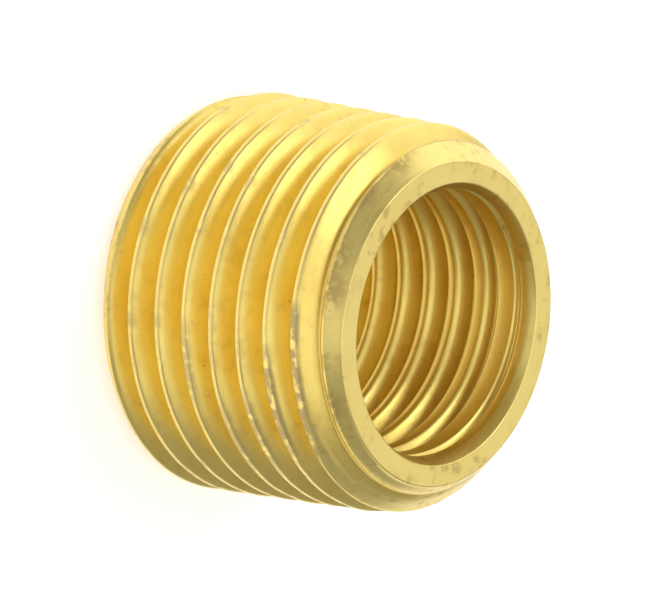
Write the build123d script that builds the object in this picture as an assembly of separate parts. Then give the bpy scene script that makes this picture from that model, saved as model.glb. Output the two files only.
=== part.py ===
"""Reducing face bushing: one turned brass ring with a taper pipe thread outside and another through it.

The large end lies on z = 0 with the thread axis along +Z, and the small, bevelled end is up.
Both threads are right-hand. All lengths are in millimetres and all angles in degrees.
"""

from math import atan2, ceil, cos, degrees, radians, tan
import os

from build123d import *
from build123d.topology import SkipClean

NODE = "bushing_body"

# Thread form, the same outside and inside: 18 threads per inch, 60 degree flanks, taper 1 in 16 on diameter.
PITCH = 25.4 / 18
FLANK_SLOPE = tan(radians(30))
TAPER = 1 / 32

# The turned blank.
LENGTH = 12.00
BACK_EDGE_R = 7.87
BACK_CHAMFER_SLOPE = tan(radians(31))
CREST_R_BACK = 8.41
FRONT_FACE_R = 6.68
BEVEL_SLOPE = tan(radians(43))

# The drilled bore, whose wall is laid out as equal arcs, and the countersinks at its two mouths.
BORE_R = 5.56
BORE_ARCS = 16
FRONT_MOUTH_R = 5.83
BACK_MOUTH_R = 6.75

# Outside thread: widths of the flat crest and root, and the height of a root's middle on the +X side.
MALE_CREST_WIDTH = 0.14 * PITCH
MALE_ROOT_WIDTH = 0.08 * PITCH
MALE_ROOT_Z = 0.19

# Inside thread: width of the flat root, its radius at the large end, and the height of a root's middle
# on the +X side. Its last turns, cut by the tap's lead, run out into the bore near the small end.
FEMALE_ROOT_WIDTH = 0.10 * PITCH
FEMALE_ROOT_R_BACK = 6.55
FEMALE_ROOT_Z = 0.876
RUNOUT_SLOPE = 0.20
RUNOUT_END_Z = 12.2

# Cutters run this far past the metal, and this many turns past each end.
PAST = 0.06
PAST_TURNS = 1.5

# A groove cutter is built in lengths of this many turns.
TURNS_PER_PIECE = 0.25


def blank():
    """The turned ring before drilling and threading: bevel, back chamfer and countersunk mouths."""
    chamfer_z = (CREST_R_BACK - BACK_EDGE_R) / (BACK_CHAMFER_SLOPE + TAPER)
    bevel_z = LENGTH - (CREST_R_BACK - TAPER * LENGTH - FRONT_FACE_R) / (BEVEL_SLOPE - TAPER)
    pilot_r = BORE_R - 10 * PAST
    outline = Polyline(
        (BACK_MOUTH_R, 0, 0),
        (BACK_EDGE_R, 0, 0),
        (CREST_R_BACK - TAPER * chamfer_z, 0, chamfer_z),
        (CREST_R_BACK - TAPER * bevel_z, 0, bevel_z),
        (FRONT_FACE_R, 0, LENGTH),
        (FRONT_MOUTH_R, 0, LENGTH),
        (pilot_r, 0, LENGTH - (FRONT_MOUTH_R - pilot_r)),
        (pilot_r, 0, BACK_MOUTH_R - pilot_r),
        (BACK_MOUTH_R, 0, 0),
    )
    return revolve(make_face(outline), Axis.Z)


def drill():
    """The straight drill for the bore, whose round wall is made of equal arcs."""
    half_arc = 180 / BORE_ARCS
    rim = [Vector(BORE_R, 0, 0).rotate(Axis.Z, half_arc * step) for step in range(2 * BORE_ARCS + 1)]
    arcs = [ThreePointArc(*rim[2 * arc : 2 * arc + 3]) for arc in range(BORE_ARCS)]
    return extrude(Pos(0, 0, -PAST) * make_face(arcs), LENGTH + 2 * PAST, clean=False)


def helix_between(start, end, angle, turns):
    """A right-hand helix from start to end, each given as (radius, height), on the cone through both."""
    rise = end[1] - start[1]
    cone_angle = degrees(atan2(end[0] - start[0], rise))
    slant_pitch = rise / turns / cos(radians(cone_angle))
    helix = Edge.make_helix(slant_pitch, rise, start[0], angle=cone_angle)
    return Pos(0, 0, start[1]) * Rot(0, 0, angle) * helix


def groove_corners(z, root_r, mouth_r, root_width):
    """The four corners, as (radius, height), of a V groove's section whose middle is at height z."""
    half_root = root_width / 2
    half_mouth = half_root + abs(mouth_r - root_r) * FLANK_SLOPE
    return (
        (root_r, z - half_root),
        (root_r, z + half_root),
        (mouth_r, z + half_mouth),
        (mouth_r, z - half_mouth),
    )


def groove_cutter(root_r_at, mouth_r_at, root_width, root_z):
    """A long helical V groove with a flat root, built in short lengths between four helices each.

    root_r_at and mouth_r_at give the radius of the root and of the open mouth at a height.
    """
    start_z = -PAST_TURNS * PITCH
    start_angle = 360 * (start_z - root_z) / PITCH
    pieces = ceil((LENGTH / PITCH + 2 * PAST_TURNS) / TURNS_PER_PIECE)
    heights = [start_z + PITCH * TURNS_PER_PIECE * piece for piece in range(pieces + 1)]
    sections = [groove_corners(z, root_r_at(z), mouth_r_at(z), root_width) for z in heights]
    faces = []
    for piece in range(pieces):
        angle = start_angle + 360 * TURNS_PER_PIECE * piece
        ends = zip(sections[piece], sections[piece + 1])
        edges = [helix_between(start, end, angle, TURNS_PER_PIECE) for start, end in ends]
        for side in range(len(edges)):
            faces.append(Face.make_surface_from_curves(edges[side], edges[side - 1]))
        if piece == 0:
            faces.append(Face(Wire.make_polygon([edge @ 0 for edge in edges], close=True)))
    faces.append(Face(Wire.make_polygon([edge @ 1 for edge in edges], close=True)))
    return Solid(Shell(faces))


def male_groove():
    """The outside thread's groove, of constant depth below the tapered crests."""
    depth = (PITCH - MALE_CREST_WIDTH - MALE_ROOT_WIDTH) / 2 / FLANK_SLOPE

    def root_r_at(z):
        return CREST_R_BACK - depth - TAPER * z

    def mouth_r_at(z):
        return CREST_R_BACK + PAST - TAPER * z

    return groove_cutter(root_r_at, mouth_r_at, MALE_ROOT_WIDTH, MALE_ROOT_Z)


def female_groove():
    """The inside thread's groove, whose tapered roots leave wider flats of the bore towards the small end."""

    def root_r_at(z):
        tapered = FEMALE_ROOT_R_BACK - TAPER * z
        running_out = BORE_R + RUNOUT_SLOPE * (RUNOUT_END_Z - z)
        return max(min(tapered, running_out), BORE_R - PAST / 2)

    def mouth_r_at(z):
        return BORE_R - PAST

    return groove_cutter(root_r_at, mouth_r_at, FEMALE_ROOT_WIDTH, FEMALE_ROOT_Z)


def bushing_body():
    """The finished ring, with the bore's arcs kept apart."""
    with SkipClean():
        return blank().cut(drill()).cut(male_groove()).cut(female_groove())


def main():
    os.makedirs("parts", exist_ok=True)
    body = bushing_body()
    body.label = NODE
    export_step(body, os.path.join("parts", NODE + ".step"))
    print(NODE, "volume", round(body.volume, 1), "valid", body.is_valid, "solids", len(body.solids()))


main()
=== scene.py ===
"""The look of the reducing bushing: a turned and threaded brass ring with rounded edges and real helices.

The large end lies on the floor at z = 0 and the thread axis is +Z. The camera looks at the small end from
above and is rolled, so that in the picture the part lies on its side with its axis pointing right.
"""

from math import atan2, cos, inf, pi, radians, sin, tan
import random

import bmesh
import bpy
import numpy as np
from mathutils import Matrix, Vector


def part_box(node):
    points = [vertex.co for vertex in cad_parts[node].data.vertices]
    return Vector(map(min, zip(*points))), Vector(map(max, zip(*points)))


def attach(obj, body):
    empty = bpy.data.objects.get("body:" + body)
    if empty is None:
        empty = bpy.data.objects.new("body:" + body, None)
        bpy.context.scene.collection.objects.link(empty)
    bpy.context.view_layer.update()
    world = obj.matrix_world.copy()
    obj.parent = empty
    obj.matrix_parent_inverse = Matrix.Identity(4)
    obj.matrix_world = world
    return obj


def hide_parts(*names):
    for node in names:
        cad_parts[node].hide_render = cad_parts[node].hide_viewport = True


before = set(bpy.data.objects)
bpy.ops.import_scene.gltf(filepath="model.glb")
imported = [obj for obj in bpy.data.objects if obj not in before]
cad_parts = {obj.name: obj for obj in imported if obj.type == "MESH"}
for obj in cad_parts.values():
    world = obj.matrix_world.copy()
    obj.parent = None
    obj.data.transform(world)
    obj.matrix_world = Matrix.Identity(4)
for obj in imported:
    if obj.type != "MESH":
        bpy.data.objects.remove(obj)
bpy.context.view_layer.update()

NODE = "bushing_body"

# Marks that the mesh carries for the brass: outside crests, torn places on them, roots, plain turned faces.
MARKS = ("crest", "torn", "root", "turned")
MM = 0.001

cad_low, cad_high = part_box(NODE)

# Thread form, the same outside and inside: 18 threads per inch, 60 degree flanks, taper 1 in 16 on diameter.
# All lengths below are in millimetres where no other unit is named.
PITCH = 25.4 / 18
FLANK_SLOPE = tan(radians(30))
FLANK_TURN = radians(60)
TAPER = 1 / 32

# The turned blank; its length is the frame's.
LENGTH = (cad_high.z - cad_low.z) / MM
BACK_EDGE_R = 7.87
BACK_CHAMFER_SLOPE = tan(radians(31))
CREST_R_BACK = 8.41
FRONT_FACE_R = 6.68
BEVEL_SLOPE = tan(radians(43))
BORE_R = 5.56
FRONT_MOUTH_R = 5.83
BACK_MOUTH_R = 6.75

# Grooves: widths of the flats, and the height of a root's middle on the +X side.
MALE_CREST_WIDTH = 0.14 * PITCH
MALE_ROOT_WIDTH = 0.08 * PITCH
MALE_ROOT_Z = 0.19
FEMALE_ROOT_WIDTH = 0.10 * PITCH
FEMALE_ROOT_R_BACK = 6.55
FEMALE_ROOT_Z = 0.876
RUNOUT_SLOPE = 0.20
RUNOUT_END_Z = 12.2
LEAST_FEMALE_DEPTH = 0.001

# Rounding left by the cutting tools and by wear.
MALE_CREST_ROUND = 0.15
FEMALE_CREST_ROUND = 0.24
ROOT_ROUND = 0.10
END_ROUND = 0.08
BLEND_WIDTH = 0.07

# What keeps a rounding inside its groove: a share of the depth, how far from the groove's middle a crest's
# rounding may begin, in pitches, and a share of the root's flat.
ROUND_TO_DEPTH = 0.4
CREST_REACH = 0.49
ROUND_TO_ROOT = 0.9

# Mesh density, and the turns made past each end before trimming.
MALE_COLUMNS = 280
FEMALE_COLUMNS = 160
ARC_STEPS = 3
FLANK_STEPS = 4
END_STEPS = 3
SPARE_TURNS = 2

# How exactly the sheets are trimmed, how close vertices merge, and how far a rim may stray from its height.
TRIM_PRECISION = 1e-5
MERGE_DISTANCE = 2e-4
RIM_PRECISION = 1e-3

# Light wear all along the outside crests: its mean depth, and waves on it (depth, radians per turn, phase).
WEAR_DEPTH = 0.006
WEAR_WAVES = ((0.004, 9.3, 0), (0.003, 31.7, 1))

# Knocks along the outside crests: the dice's seed, how many, the turn they start from, and the ranges of their
# half lengths and depths.
NICK_SEED = 18
NICK_COUNT = 220
FIRST_NICK_TURN = -1
NICK_HALF_LENGTH = (0.10, 0.50)
NICK_DEPTH = (0.01, 0.045)

# How far below a crest its worn, pale look reaches, which is partly a painted highlight along the ridge, and
# the knock depth that leaves it fully torn.
CREST_MARK_DEPTH = 0.10
TORN_DEPTH = 0.07

# How much of the painted shade in the outside roots, a darker orange that stands in for light bounced between
# the flanks, the bore's roots have.
BORE_ROOT_SHADE_SHARE = 0.5

# Longer worn stretches of crest: (turns along the ridge, half length in turns, depth).
WORN_STRETCHES = (
    (7.31, 0.075, 0.15),
    (6.33, 0.06, 0.08),
    (5.36, 0.05, 0.06),
    (4.37, 0.05, 0.05),
    (3.30, 0.04, 0.05),
)


def smooth_min(a, b):
    """The smaller of a and b, with the corner between them rounded."""
    return 0.5 * (a + b - np.sqrt((a - b) ** 2 + BLEND_WIDTH**2))


def smooth_max(a, b):
    """The larger of a and b, with the corner between them rounded."""
    return -smooth_min(-a, -b)


def groove_half(depth, root_half, crest_rounding):
    """Half of a groove's section, as (distance from the groove's middle, depth below the crest) for each row.

    Rows run from the crest's middle, over its rounded edge and down the flank, to the root's middle. Each is
    a pair of arrays, because the depth is an array.
    """
    mouth_half = root_half + depth * FLANK_SLOPE
    corner = tan(FLANK_TURN / 2)
    crest_room = np.minimum(ROUND_TO_DEPTH * depth, (CREST_REACH * PITCH - mouth_half) / corner)
    crest_round = np.minimum(crest_rounding, crest_room)
    root_round = np.minimum(min(ROOT_ROUND, ROUND_TO_ROOT * root_half / corner), ROUND_TO_DEPTH * depth)
    crest_a = mouth_half + crest_round * corner
    root_a = root_half - root_round * corner
    turns = [FLANK_TURN * step / ARC_STEPS for step in range(ARC_STEPS + 1)]
    crest_arc = [(crest_a - crest_round * sin(t), crest_round * (1 - cos(t))) for t in turns]
    root_arc = [(root_a + root_round * sin(t), depth - root_round * (1 - cos(t))) for t in reversed(turns)]
    (high_a, high_d), (low_a, low_d) = crest_arc[-1], root_arc[0]
    flank = []
    for step in range(1, FLANK_STEPS):
        share = step / FLANK_STEPS
        flank.append((high_a + (low_a - high_a) * share, high_d + (low_d - high_d) * share))
    crest = [(0 * depth + PITCH / 2, 0 * depth)]
    root = [(0 * depth, depth)]
    return crest + crest_arc + flank + root_arc + root


def helical_rows(columns, root_z, root_half, depth_at, crest_rounding):
    """Heights, depths and crest places of a helical thread, and its number of rows per turn.

    Each array has one row per line of the section and one column per angle. A crest place counts turns along
    the ridge that a row belongs to. Past the last column, each row goes on in the first column, one turn's
    number of rows later.
    """
    angle = np.arange(columns) / columns
    heights, depths, places = [], [], []
    for turn in range(-SPARE_TURNS, int(LENGTH / PITCH) + SPARE_TURNS + 1):
        middle = root_z + PITCH * (turn + angle)
        half = groove_half(depth_at(middle), root_half, crest_rounding)
        for side, rows in ((-1, half[:-1]), (1, half[:0:-1])):
            for distance, depth in rows:
                heights.append(middle + side * distance)
                depths.append(depth)
                places.append(turn + angle + side / 2)
    return np.array(heights), np.array(depths), np.array(places), 2 * (len(half) - 1)


def knocked_crest(place):
    """How far the outside crest is worn or knocked down at places along its ridge."""
    dice = random.Random(NICK_SEED)
    turns = int(LENGTH / PITCH) + SPARE_TURNS
    worn = WEAR_DEPTH + sum(depth * np.sin(rate * place + phase) for depth, rate, phase in WEAR_WAVES)
    knocks = list(WORN_STRETCHES)
    for _ in range(NICK_COUNT):
        half_turns = dice.uniform(*NICK_HALF_LENGTH) / (2 * pi * CREST_R_BACK)
        knocks.append((dice.uniform(FIRST_NICK_TURN, turns), half_turns, dice.uniform(*NICK_DEPTH)))
    for middle, half_turns, knock_depth in knocks:
        shape = np.maximum(1 - ((place - middle) / half_turns) ** 2, 0)
        worn = np.maximum(worn, knock_depth * np.sqrt(shape))
    return worn


def male_surface():
    """The outside with its thread, chamfer and bevel, as heights, radii and marks, and its rows per turn."""
    full_depth = (PITCH - MALE_CREST_WIDTH - MALE_ROOT_WIDTH) / 2 / FLANK_SLOPE

    def depth_at(middle):
        return np.full_like(middle, full_depth)

    z, depth, place, per_turn = helical_rows(
        MALE_COLUMNS, MALE_ROOT_Z, MALE_ROOT_WIDTH / 2, depth_at, MALE_CREST_ROUND
    )
    knocked = knocked_crest(place)
    depth = np.maximum(depth, knocked)
    thread = CREST_R_BACK - TAPER * z - depth
    bevel = FRONT_FACE_R + (LENGTH - z) * BEVEL_SLOPE
    chamfer = BACK_EDGE_R + z * BACK_CHAMFER_SLOPE
    turned = 1.0 * (thread > np.minimum(bevel, chamfer))
    # The crest mark paints the ridge tops paler: partly wear, partly a painted highlight.
    crest = np.clip(1 - (depth - knocked) / CREST_MARK_DEPTH, 0, 1) * (1 - turned)
    torn = crest * np.clip(knocked / TORN_DEPTH, 0, 1)
    radius = smooth_min(smooth_min(thread, bevel), chamfer)
    # The depth share is the root mark, which drives the painted shade in the roots.
    return z, radius, (crest, torn, depth / full_depth, turned), per_turn


def female_surface():
    """The bore with its thread and two countersinks, as heights, radii and marks, and its rows per turn."""

    def depth_at(middle):
        tapered = FEMALE_ROOT_R_BACK - TAPER * middle
        running_out = BORE_R + RUNOUT_SLOPE * (RUNOUT_END_Z - middle)
        return np.maximum(np.minimum(tapered, running_out) - BORE_R, LEAST_FEMALE_DEPTH)

    z, depth, _, per_turn = helical_rows(
        FEMALE_COLUMNS, FEMALE_ROOT_Z, FEMALE_ROOT_WIDTH / 2, depth_at, FEMALE_CREST_ROUND
    )
    thread = BORE_R + depth
    front = FRONT_MOUTH_R - (LENGTH - z)
    back = BACK_MOUTH_R - z
    turned = 1.0 * (thread < np.maximum(front, back))
    # The bore's root mark drives the same painted shade of bounced light, at a smaller share.
    root = BORE_ROOT_SHADE_SHARE * depth / (FEMALE_ROOT_R_BACK - BORE_R)
    return z, smooth_max(smooth_max(thread, front), back), (0 * z, 0 * z, root, turned), per_turn


def helical_sheet(z, radius, marks, per_turn, outward):
    """One helical sheet of quads, trimmed square just inside both ends, with its marks in vertex layers."""
    mesh = bmesh.new()
    for name in MARKS:
        mesh.verts.layers.float.new(name)
    layers = [mesh.verts.layers.float[name] for name in MARKS]
    rows, columns = z.shape
    angle = 2 * pi * np.arange(columns) / columns
    verts = []
    for row in range(rows):
        for column in range(columns):
            r = radius[row, column]
            vert = mesh.verts.new((r * cos(angle[column]), r * sin(angle[column]), z[row, column]))
            for layer, mark in zip(layers, marks):
                vert[layer] = mark[row, column]
            verts.append(vert)
    for row in range(rows - 1):
        for column in range(columns):
            next_row, next_column = (row, column + 1) if column + 1 < columns else (row + per_turn, 0)
            if next_row + 1 < rows:
                corners = (
                    verts[row * columns + column],
                    verts[next_row * columns + next_column],
                    verts[(next_row + 1) * columns + next_column],
                    verts[(row + 1) * columns + column],
                )
                mesh.faces.new(corners if outward else corners[::-1])
    for height, outer_side in ((END_ROUND, -1), (LENGTH - END_ROUND, 1)):
        bmesh.ops.bisect_plane(
            mesh,
            geom=mesh.verts[:] + mesh.edges[:] + mesh.faces[:],
            plane_co=(0, 0, height),
            plane_no=(0, 0, outer_side),
            clear_outer=True,
            dist=TRIM_PRECISION,
        )
    bmesh.ops.remove_doubles(mesh, verts=mesh.verts, dist=MERGE_DISTANCE)
    return mesh


def rim_loops(mesh, height):
    """The open rims at a height, as vertices in order of angle: the inner one, then the outer one."""
    rim = {
        vert
        for edge in mesh.edges
        if len(edge.link_faces) == 1
        for vert in edge.verts
        if abs(vert.co.z - height) < RIM_PRECISION
    }
    split = (BACK_MOUTH_R + BACK_EDGE_R) / 2 if height < LENGTH / 2 else (FRONT_MOUTH_R + FRONT_FACE_R) / 2
    loops = ([], [])
    for vert in rim:
        loops[vert.co.xy.length > split].append(vert)
    for loop in loops:
        loop.sort(key=lambda vert: atan2(vert.co.y, vert.co.x))
    return loops


def ring_beside(mesh, loop, inset, z):
    """A copy of a rim at height z, with its radius changed by inset."""
    turned_mark = mesh.verts.layers.float["turned"]
    ring = []
    for vert in loop:
        scale = 1 + inset / vert.co.xy.length
        copy = mesh.verts.new((vert.co.x * scale, vert.co.y * scale, z))
        copy[turned_mark] = 1
        ring.append(copy)
    return ring


def strip(mesh, loop_a, loop_b, flip):
    """Quads between two rims that have the same number of vertices."""
    for index in range(len(loop_a)):
        after = (index + 1) % len(loop_a)
        corners = (loop_a[index], loop_a[after], loop_b[after], loop_b[index])
        mesh.faces.new(corners[::-1] if flip else corners)


def zip_rims(mesh, inner, outer, flip):
    """Triangles between two flat rims whose vertices stand at different angles."""
    rims = (inner, outer)
    angles = [[atan2(vert.co.y, vert.co.x) for vert in rim] + [inf] for rim in rims]
    at = [0, 0]
    while at[0] < len(inner) or at[1] < len(outer):
        step = 0 if angles[0][at[0]] <= angles[1][at[1]] else 1
        here = [rim[index % len(rim)] for rim, index in zip(rims, at)]
        at[step] += 1
        corners = (*here, rims[step][at[step] % len(rims[step])])
        mesh.faces.new(corners[::-1] if flip else corners)


def close_end(mesh, height, face_z):
    """Rounds both rims at one end over onto the flat face and fills the face between them."""
    upward = face_z > height
    flat_rims = []
    for rim, inwards in zip(rim_loops(mesh, height), (1, -1)):
        last = rim
        for step in range(1, END_STEPS + 1):
            turn = pi / 2 * step / END_STEPS
            z = height + (face_z - height) * sin(turn)
            ring = ring_beside(mesh, rim, inwards * END_ROUND * (1 - cos(turn)), z)
            strip(mesh, last, ring, flip=(inwards > 0) == upward)
            last = ring
        support = ring_beside(mesh, last, inwards * END_ROUND / 2, face_z)
        strip(mesh, last, support, flip=(inwards > 0) == upward)
        flat_rims.append(support)
    zip_rims(mesh, *flat_rims, flip=not upward)


def build_bushing():
    """The whole part as one closed mesh, in metres."""
    mesh = helical_sheet(*male_surface(), outward=True)
    bore = helical_sheet(*female_surface(), outward=False)
    data = bpy.data.meshes.new("bushing")
    bore.to_mesh(data)
    bore.free()
    mesh.from_mesh(data)
    close_end(mesh, END_ROUND, 0)
    close_end(mesh, LENGTH - END_ROUND, LENGTH)
    bmesh.ops.recalc_face_normals(mesh, faces=mesh.faces)
    for face in mesh.faces:
        face.smooth = True
    open_edges = sum(len(edge.link_faces) != 2 for edge in mesh.edges)
    print("bushing triangles", sum(len(face.verts) - 2 for face in mesh.faces), "open edges", open_edges)
    mesh.transform(Matrix.Scale(MM, 4))
    mesh.to_mesh(data)
    mesh.free()
    piece = bpy.data.objects.new("bushing", data)
    bpy.context.collection.objects.link(piece)
    return piece


class Graph:
    """Short calls that add nodes to a material and return their outputs."""

    def __init__(self, tree):
        self.tree = tree

    def add(self, kind, **settings):
        node = self.tree.nodes.new(kind)
        for name, value in settings.items():
            setattr(node, name, value)
        return node

    def feed(self, socket, value):
        if isinstance(value, bpy.types.NodeSocket):
            self.tree.links.new(value, socket)
        else:
            socket.default_value = value

    def math(self, operation, *values):
        node = self.add("ShaderNodeMath", operation=operation)
        for socket, value in zip(node.inputs, values):
            self.feed(socket, value)
        return node.outputs[0]

    def vector(self, x, y, z):
        node = self.add("ShaderNodeCombineXYZ")
        for socket, value in zip(node.inputs, (x, y, z)):
            self.feed(socket, value)
        return node.outputs[0]

    def noise(self, vector, scale, detail):
        node = self.add("ShaderNodeTexNoise")
        self.feed(node.inputs["Vector"], vector)
        node.inputs["Scale"].default_value = scale
        node.inputs["Detail"].default_value = detail
        return node.outputs["Fac"]

    def fade(self, value, start, end):
        """0 at start, 1 at end, and smooth between."""
        node = self.add("ShaderNodeMapRange", interpolation_type="SMOOTHSTEP")
        self.feed(node.inputs["Value"], value)
        node.inputs["From Min"].default_value = start
        node.inputs["From Max"].default_value = end
        return node.outputs["Result"]

    def mix(self, share, low, high):
        """A blend of two colours, which a Mix node takes in sockets 6 and 7 and gives in output 2."""
        node = self.add("ShaderNodeMix", data_type="RGBA")
        self.feed(node.inputs["Factor"], share)
        self.feed(node.inputs[6], low)
        self.feed(node.inputs[7], high)
        return node.outputs[2]

    def mark(self, name):
        return self.add("ShaderNodeAttribute", attribute_name=name).outputs["Fac"]


# Brass colours.
FRESH_BRASS = (0.91, 0.71, 0.20, 1)
WARM_BRASS = (0.88, 0.66, 0.17, 1)
# Painted shade: the darker orange of the thread roots stands in for light bounced between the flanks.
ROOT_SHADE_BRASS = (0.87, 0.60, 0.14, 1)
# Pale brass: a painted sheen on the turned faces, and partly wear, partly a painted highlight on the crests.
PALE_WEAR_AND_SHEEN_BRASS = (0.92, 0.77, 0.32, 1)
TARNISH = (0.52, 0.38, 0.13, 1)
GRIME = (0.34, 0.25, 0.13, 1)

# Stains on the bevel, each with its angle in degrees, height and radius, and the distances from its middle at
# which one starts and is full, in radii.
BEVEL_STAINS = (
    (-101, 11.2, 1.1),
    (-112, 11.1, 1.0),
    (-135, 11.1, 0.8),
    (-152, 11.0, 0.9),
    (-62, 11.2, 0.9),
)
STAIN_START = 1.4
STAIN_FULL = 0.5

# Noise patterns: waves per millimetre, and detail.
CLOUD = (0.45, 3.0)
MOTTLE = (2.2, 7.0)
GRAIN = (12.0, 4.0)
SPECKS = (3.1, 2.0)
STREAKS = (9.0, 4.0)
DRIFT = (0.35, 2.0)

# The noise or mark values at which each look starts and is full.
WARM_CLOUD = (0.35, 0.65)
PATCH_CLOUD = (0.40, 0.60)
PATCH_MOTTLE = (0.50, 0.66)
STAIN_MOTTLE = (0.34, 0.50)
TORN_MOTTLE = (0.36, 0.52)
SPECK_RANGE = (0.74, 0.78)
ROOT_SHADE_RANGE = (0.45, 0.95)

# How far each look covers the fresh brass; turned faces add to the patches.
PATCH_COVER = 0.20
TURNED_PATCH_COVER = 0.35
STAIN_COVER = 0.85
# The root look is painted shade of light bounced between the flanks.
ROOT_SHADE_COVER = 0.4
# The turned faces' paler look is a painted sheen standing in for their whiter reflection.
TURNED_SHEEN_COVER = 0.3
# The crest look is partly wear and partly a painted highlight.
CREST_WEAR_AND_HIGHLIGHT_COVER = 0.35
TORN_COVER = 0.65
SPECK_COVER = 0.65

# Roughness of the bare metal, what each look adds to it, and how much less metallic a torn crest is.
BARE_ROUGHNESS = 0.24
TARNISH_ROUGHNESS = 0.15
TORN_ROUGHNESS = 0.20
STREAK_ROUGHNESS = 0.14
GRAIN_ROUGHNESS = 0.08
TORN_METALLIC = -0.2

# Fine relief: what each pattern adds, and the bump's strength and height.
STREAK_RELIEF = 0.6
MOTTLE_RELIEF = 0.5
GRAIN_RELIEF = 0.18
BUMP_STRENGTH = 0.35
BUMP_HEIGHT = 0.03


def surface_marks(graph, place, x, y, z):
    """Fine tool marks: along the helix on the threads, and round the axis on the plain turned faces."""
    squares = [graph.math("MULTIPLY", side, side) for side in (x, y)]
    radius = graph.math("SQRT", graph.math("ADD", *squares))
    turns = graph.math("DIVIDE", graph.math("ARCTAN2", y, x), 2 * pi)
    helix = graph.math("FRACT", graph.math("SUBTRACT", graph.math("DIVIDE", z, PITCH), turns))
    on_thread = graph.vector(graph.math("MULTIPLY", helix, PITCH), radius, 0)
    across = graph.mix(graph.mark("turned"), on_thread, graph.vector(z, radius, 0))
    drifting = graph.add("ShaderNodeVectorMath", operation="ADD")
    graph.feed(drifting.inputs[0], across)
    graph.feed(drifting.inputs[1], graph.vector(0, 0, graph.noise(place, *DRIFT)))
    return graph.noise(drifting.outputs[0], *STREAKS)


def bevel_stain(graph, place):
    """1 inside the bevel's stains, fading to 0 around them."""
    stain = 0.0
    for angle, height, size in BEVEL_STAINS:
        reach = FRONT_FACE_R + (LENGTH - height) * BEVEL_SLOPE
        gap = graph.add("ShaderNodeVectorMath", operation="DISTANCE")
        graph.feed(gap.inputs[0], place)
        gap.inputs[1].default_value = (reach * cos(radians(angle)), reach * sin(radians(angle)), height)
        inside = graph.fade(gap.outputs["Value"], size * STAIN_START, size * STAIN_FULL)
        stain = graph.math("MAXIMUM", stain, inside)
    return graph.math("MULTIPLY", stain, graph.mark("turned"))


def brass_material():
    """Machined yellow brass: tool marks, tarnish, painted shade deep in the roots, paler crests that are
    partly worn and partly a painted highlight, torn crests, turned faces with a painted sheen, and a stained
    bevel.
    """
    material = bpy.data.materials.new("machined_brass")
    material.use_nodes = True
    graph = Graph(material.node_tree)
    shader = material.node_tree.nodes["Principled BSDF"]
    millimetres = graph.add("ShaderNodeVectorMath", operation="SCALE")
    graph.feed(millimetres.inputs[0], graph.add("ShaderNodeTexCoord").outputs["Object"])
    millimetres.inputs["Scale"].default_value = 1 / MM
    place = millimetres.outputs[0]
    separate = graph.add("ShaderNodeSeparateXYZ")
    graph.feed(separate.inputs[0], place)
    streaks = surface_marks(graph, place, *separate.outputs)
    cloud = graph.noise(place, *CLOUD)
    mottle = graph.noise(place, *MOTTLE)
    grain = graph.noise(place, *GRAIN)
    turned = graph.mark("turned")

    patches = graph.math("MULTIPLY", graph.fade(mottle, *PATCH_MOTTLE), graph.fade(cloud, *PATCH_CLOUD))
    patch_cover = graph.math("MULTIPLY_ADD", turned, TURNED_PATCH_COVER, PATCH_COVER)
    patches = graph.math("MULTIPLY", patches, patch_cover)
    stain = graph.math("MULTIPLY", bevel_stain(graph, place), graph.fade(mottle, *STAIN_MOTTLE))
    tarnished = graph.math("MAXIMUM", patches, graph.math("MULTIPLY", stain, STAIN_COVER))
    torn = graph.math("MULTIPLY", graph.mark("torn"), graph.fade(mottle, *TORN_MOTTLE))
    speck = graph.fade(graph.noise(place, *SPECKS), *SPECK_RANGE)
    # Painted shade: deep in the grooves the colour turns a darker orange, standing in for light bounced
    # between the flanks.
    root = graph.fade(graph.mark("root"), *ROOT_SHADE_RANGE)

    colour = graph.mix(graph.fade(cloud, *WARM_CLOUD), FRESH_BRASS, WARM_BRASS)
    # Painted shade in the roots.
    colour = graph.mix(graph.math("MULTIPLY", root, ROOT_SHADE_COVER), colour, ROOT_SHADE_BRASS)
    # Painted sheen: turned faces are paler, standing in for their whiter reflection.
    colour = graph.mix(graph.math("MULTIPLY", turned, TURNED_SHEEN_COVER), colour, PALE_WEAR_AND_SHEEN_BRASS)
    colour = graph.mix(tarnished, colour, TARNISH)
    # Paler crests: partly rubbed wear, partly a painted highlight along the ridge tops.
    colour = graph.mix(graph.math("MULTIPLY", graph.mark("crest"), CREST_WEAR_AND_HIGHLIGHT_COVER), colour, PALE_WEAR_AND_SHEEN_BRASS)
    colour = graph.mix(graph.math("MULTIPLY", torn, TORN_COVER), colour, GRIME)
    colour = graph.mix(graph.math("MULTIPLY", speck, SPECK_COVER), colour, GRIME)
    graph.feed(shader.inputs["Base Color"], colour)

    rough = graph.math("MULTIPLY_ADD", torn, TORN_ROUGHNESS, BARE_ROUGHNESS)
    rough = graph.math("MULTIPLY_ADD", tarnished, TARNISH_ROUGHNESS, rough)
    rough = graph.math("MULTIPLY_ADD", grain, GRAIN_ROUGHNESS, rough)
    rough = graph.math("MULTIPLY_ADD", streaks, STREAK_ROUGHNESS, rough)
    graph.feed(shader.inputs["Roughness"], rough)
    graph.feed(shader.inputs["Metallic"], graph.math("MULTIPLY_ADD", torn, TORN_METALLIC, 1))

    relief = graph.math("MULTIPLY", mottle, MOTTLE_RELIEF)
    relief = graph.math("MULTIPLY_ADD", streaks, STREAK_RELIEF, relief)
    relief = graph.math("MULTIPLY_ADD", grain, GRAIN_RELIEF, relief)
    bump = graph.add("ShaderNodeBump")
    bump.inputs["Strength"].default_value = BUMP_STRENGTH
    bump.inputs["Distance"].default_value = BUMP_HEIGHT * MM
    graph.feed(bump.inputs["Height"], relief)
    graph.feed(shader.inputs["Normal"], bump.outputs["Normal"])
    return material


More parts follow.
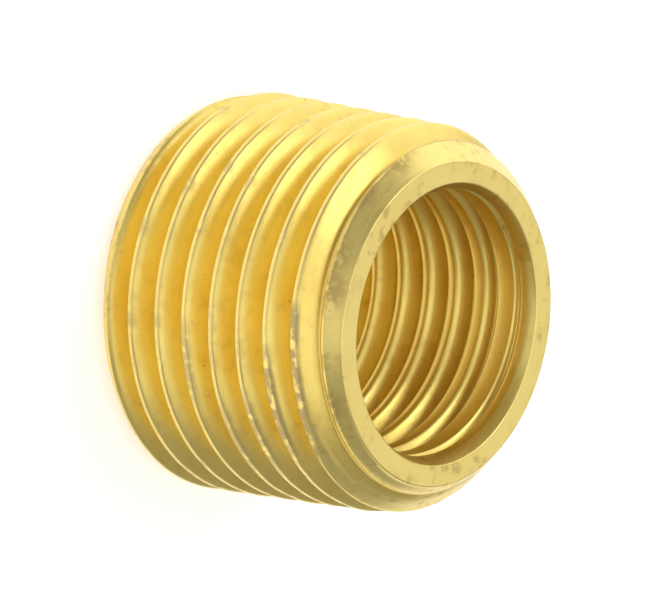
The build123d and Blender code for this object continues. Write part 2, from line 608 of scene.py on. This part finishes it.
# The camera: how far it stands off the thread axis, how far the axis drops across the picture, its distance,
# and how far right of and below the picture's centre the frame's origin sits.
VIEW_OFF_AXIS = radians(50.72)
AXIS_DROP = radians(9.46)
CAMERA_DISTANCE = 390.6
AXIS_START = (-4.180, -0.533)
SENSOR_WIDTH = 36.0
LENS = 517.307
CLIP_START = 10
CLIP_END = 10000


def camera_axes():
    """The picture's right, up and towards-the-camera directions in the part's frame.

    In the picture the thread axis points right, down by AXIS_DROP and towards the camera.
    """
    across = sin(VIEW_OFF_AXIS)
    axis = Vector((across * cos(AXIS_DROP), -across * sin(AXIS_DROP), cos(VIEW_OFF_AXIS)))
    up = Vector((0, 1, 0))
    minus_x = (up - axis * up.dot(axis)).normalized()
    minus_y = axis.cross(minus_x)
    part_axes = Matrix((-minus_x, -minus_y, axis))
    return [part_axes @ Vector(unit) for unit in ((1, 0, 0), (0, 1, 0), (0, 0, 1))]


def add_camera():
    """A long lens far from the part, which sees the small end and one side of the thread."""
    right, up, towards = camera_axes()
    data = bpy.data.cameras.new("camera")
    data.sensor_width = SENSOR_WIDTH
    data.lens = LENS
    data.clip_start = CLIP_START * MM
    data.clip_end = CLIP_END * MM
    camera = bpy.data.objects.new("camera", data)
    bpy.context.collection.objects.link(camera)
    place = right * -AXIS_START[0] + up * AXIS_START[1] + towards * CAMERA_DISTANCE
    turn = Matrix((right, up, towards)).transposed().to_4x4()
    camera.matrix_world = Matrix.Translation(place * MM) @ turn
    bpy.context.scene.camera = camera


# The floor: half its side in metres, how far it lies below the part, and its shade, roughness and glow.
WHITE = (1, 1, 1, 1)
FLOOR_HALF = 2.0
FLOOR_DROP = 0.02
FLOOR_COLOUR = (0.9, 0.9, 0.9, 1)
FLOOR_ROUGHNESS = 0.9
FLOOR_GLOW = 0.48


def add_floor():
    """A plain, very pale floor under the large end, which glows enough to hide most of the part's shadow."""
    data = bpy.data.meshes.new("floor")
    signs = ((-1, -1), (1, -1), (1, 1), (-1, 1))
    corners = [(x * FLOOR_HALF, y * FLOOR_HALF, -FLOOR_DROP * MM) for x, y in signs]
    data.from_pydata(corners, [], [(0, 1, 2, 3)])
    floor = bpy.data.objects.new("floor", data)
    bpy.context.collection.objects.link(floor)
    material = bpy.data.materials.new("pale_floor")
    material.use_nodes = True
    shader = material.node_tree.nodes["Principled BSDF"]
    shader.inputs["Base Color"].default_value = FLOOR_COLOUR
    shader.inputs["Roughness"].default_value = FLOOR_ROUGHNESS
    shader.inputs["Specular IOR Level"].default_value = 0.0
    shader.inputs["Emission Color"].default_value = WHITE
    shader.inputs["Emission Strength"].default_value = FLOOR_GLOW
    data.materials.append(material)


# Softboxes: direction from the part, distance and side in metres, and radiance.
SOFTBOXES = {
    "key": ((-0.52, 0.20, 0.80), 0.35, 0.17, 2.6),
    "side": ((-1.0, 0.95, 0.22), 0.45, 0.42, 1.0),
    "overhead": ((0.10, -0.1, 1.0), 0.45, 0.42, 0.90),
    "rear": ((0.15, 0.77, 0.60), 0.50, 0.34, 0.62),
    "front": ((-0.05, -0.85, 0.50), 0.60, 0.60, 0.45),
}
WORLD_LIGHT = 0.34


def add_lights():
    """A pale studio: an even world, and large softboxes above and around the part."""
    world = bpy.data.worlds.new("studio")
    world.use_nodes = True
    background = world.node_tree.nodes["Background"]
    background.inputs["Color"].default_value = WHITE
    background.inputs["Strength"].default_value = WORLD_LIGHT
    bpy.context.scene.world = world
    for name, (direction, distance, side, radiance) in SOFTBOXES.items():
        data = bpy.data.lights.new(name, "AREA")
        data.shape = "SQUARE"
        data.size = side
        data.energy = radiance * pi * side**2
        light = bpy.data.objects.new(name, data)
        bpy.context.collection.objects.link(light)
        towards = Vector(direction).normalized()
        light.location = Vector((0, 0, LENGTH / 2 * MM)) + towards * distance
        light.rotation_mode = "QUATERNION"
        light.rotation_quaternion = towards.to_track_quat("Z", "Y")
    bpy.context.scene.view_settings.view_transform = "Standard"


bushing = build_bushing()
bushing.data.materials.append(brass_material())
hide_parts(NODE)
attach(bushing, "root")
add_floor()
add_lights()
add_camera()
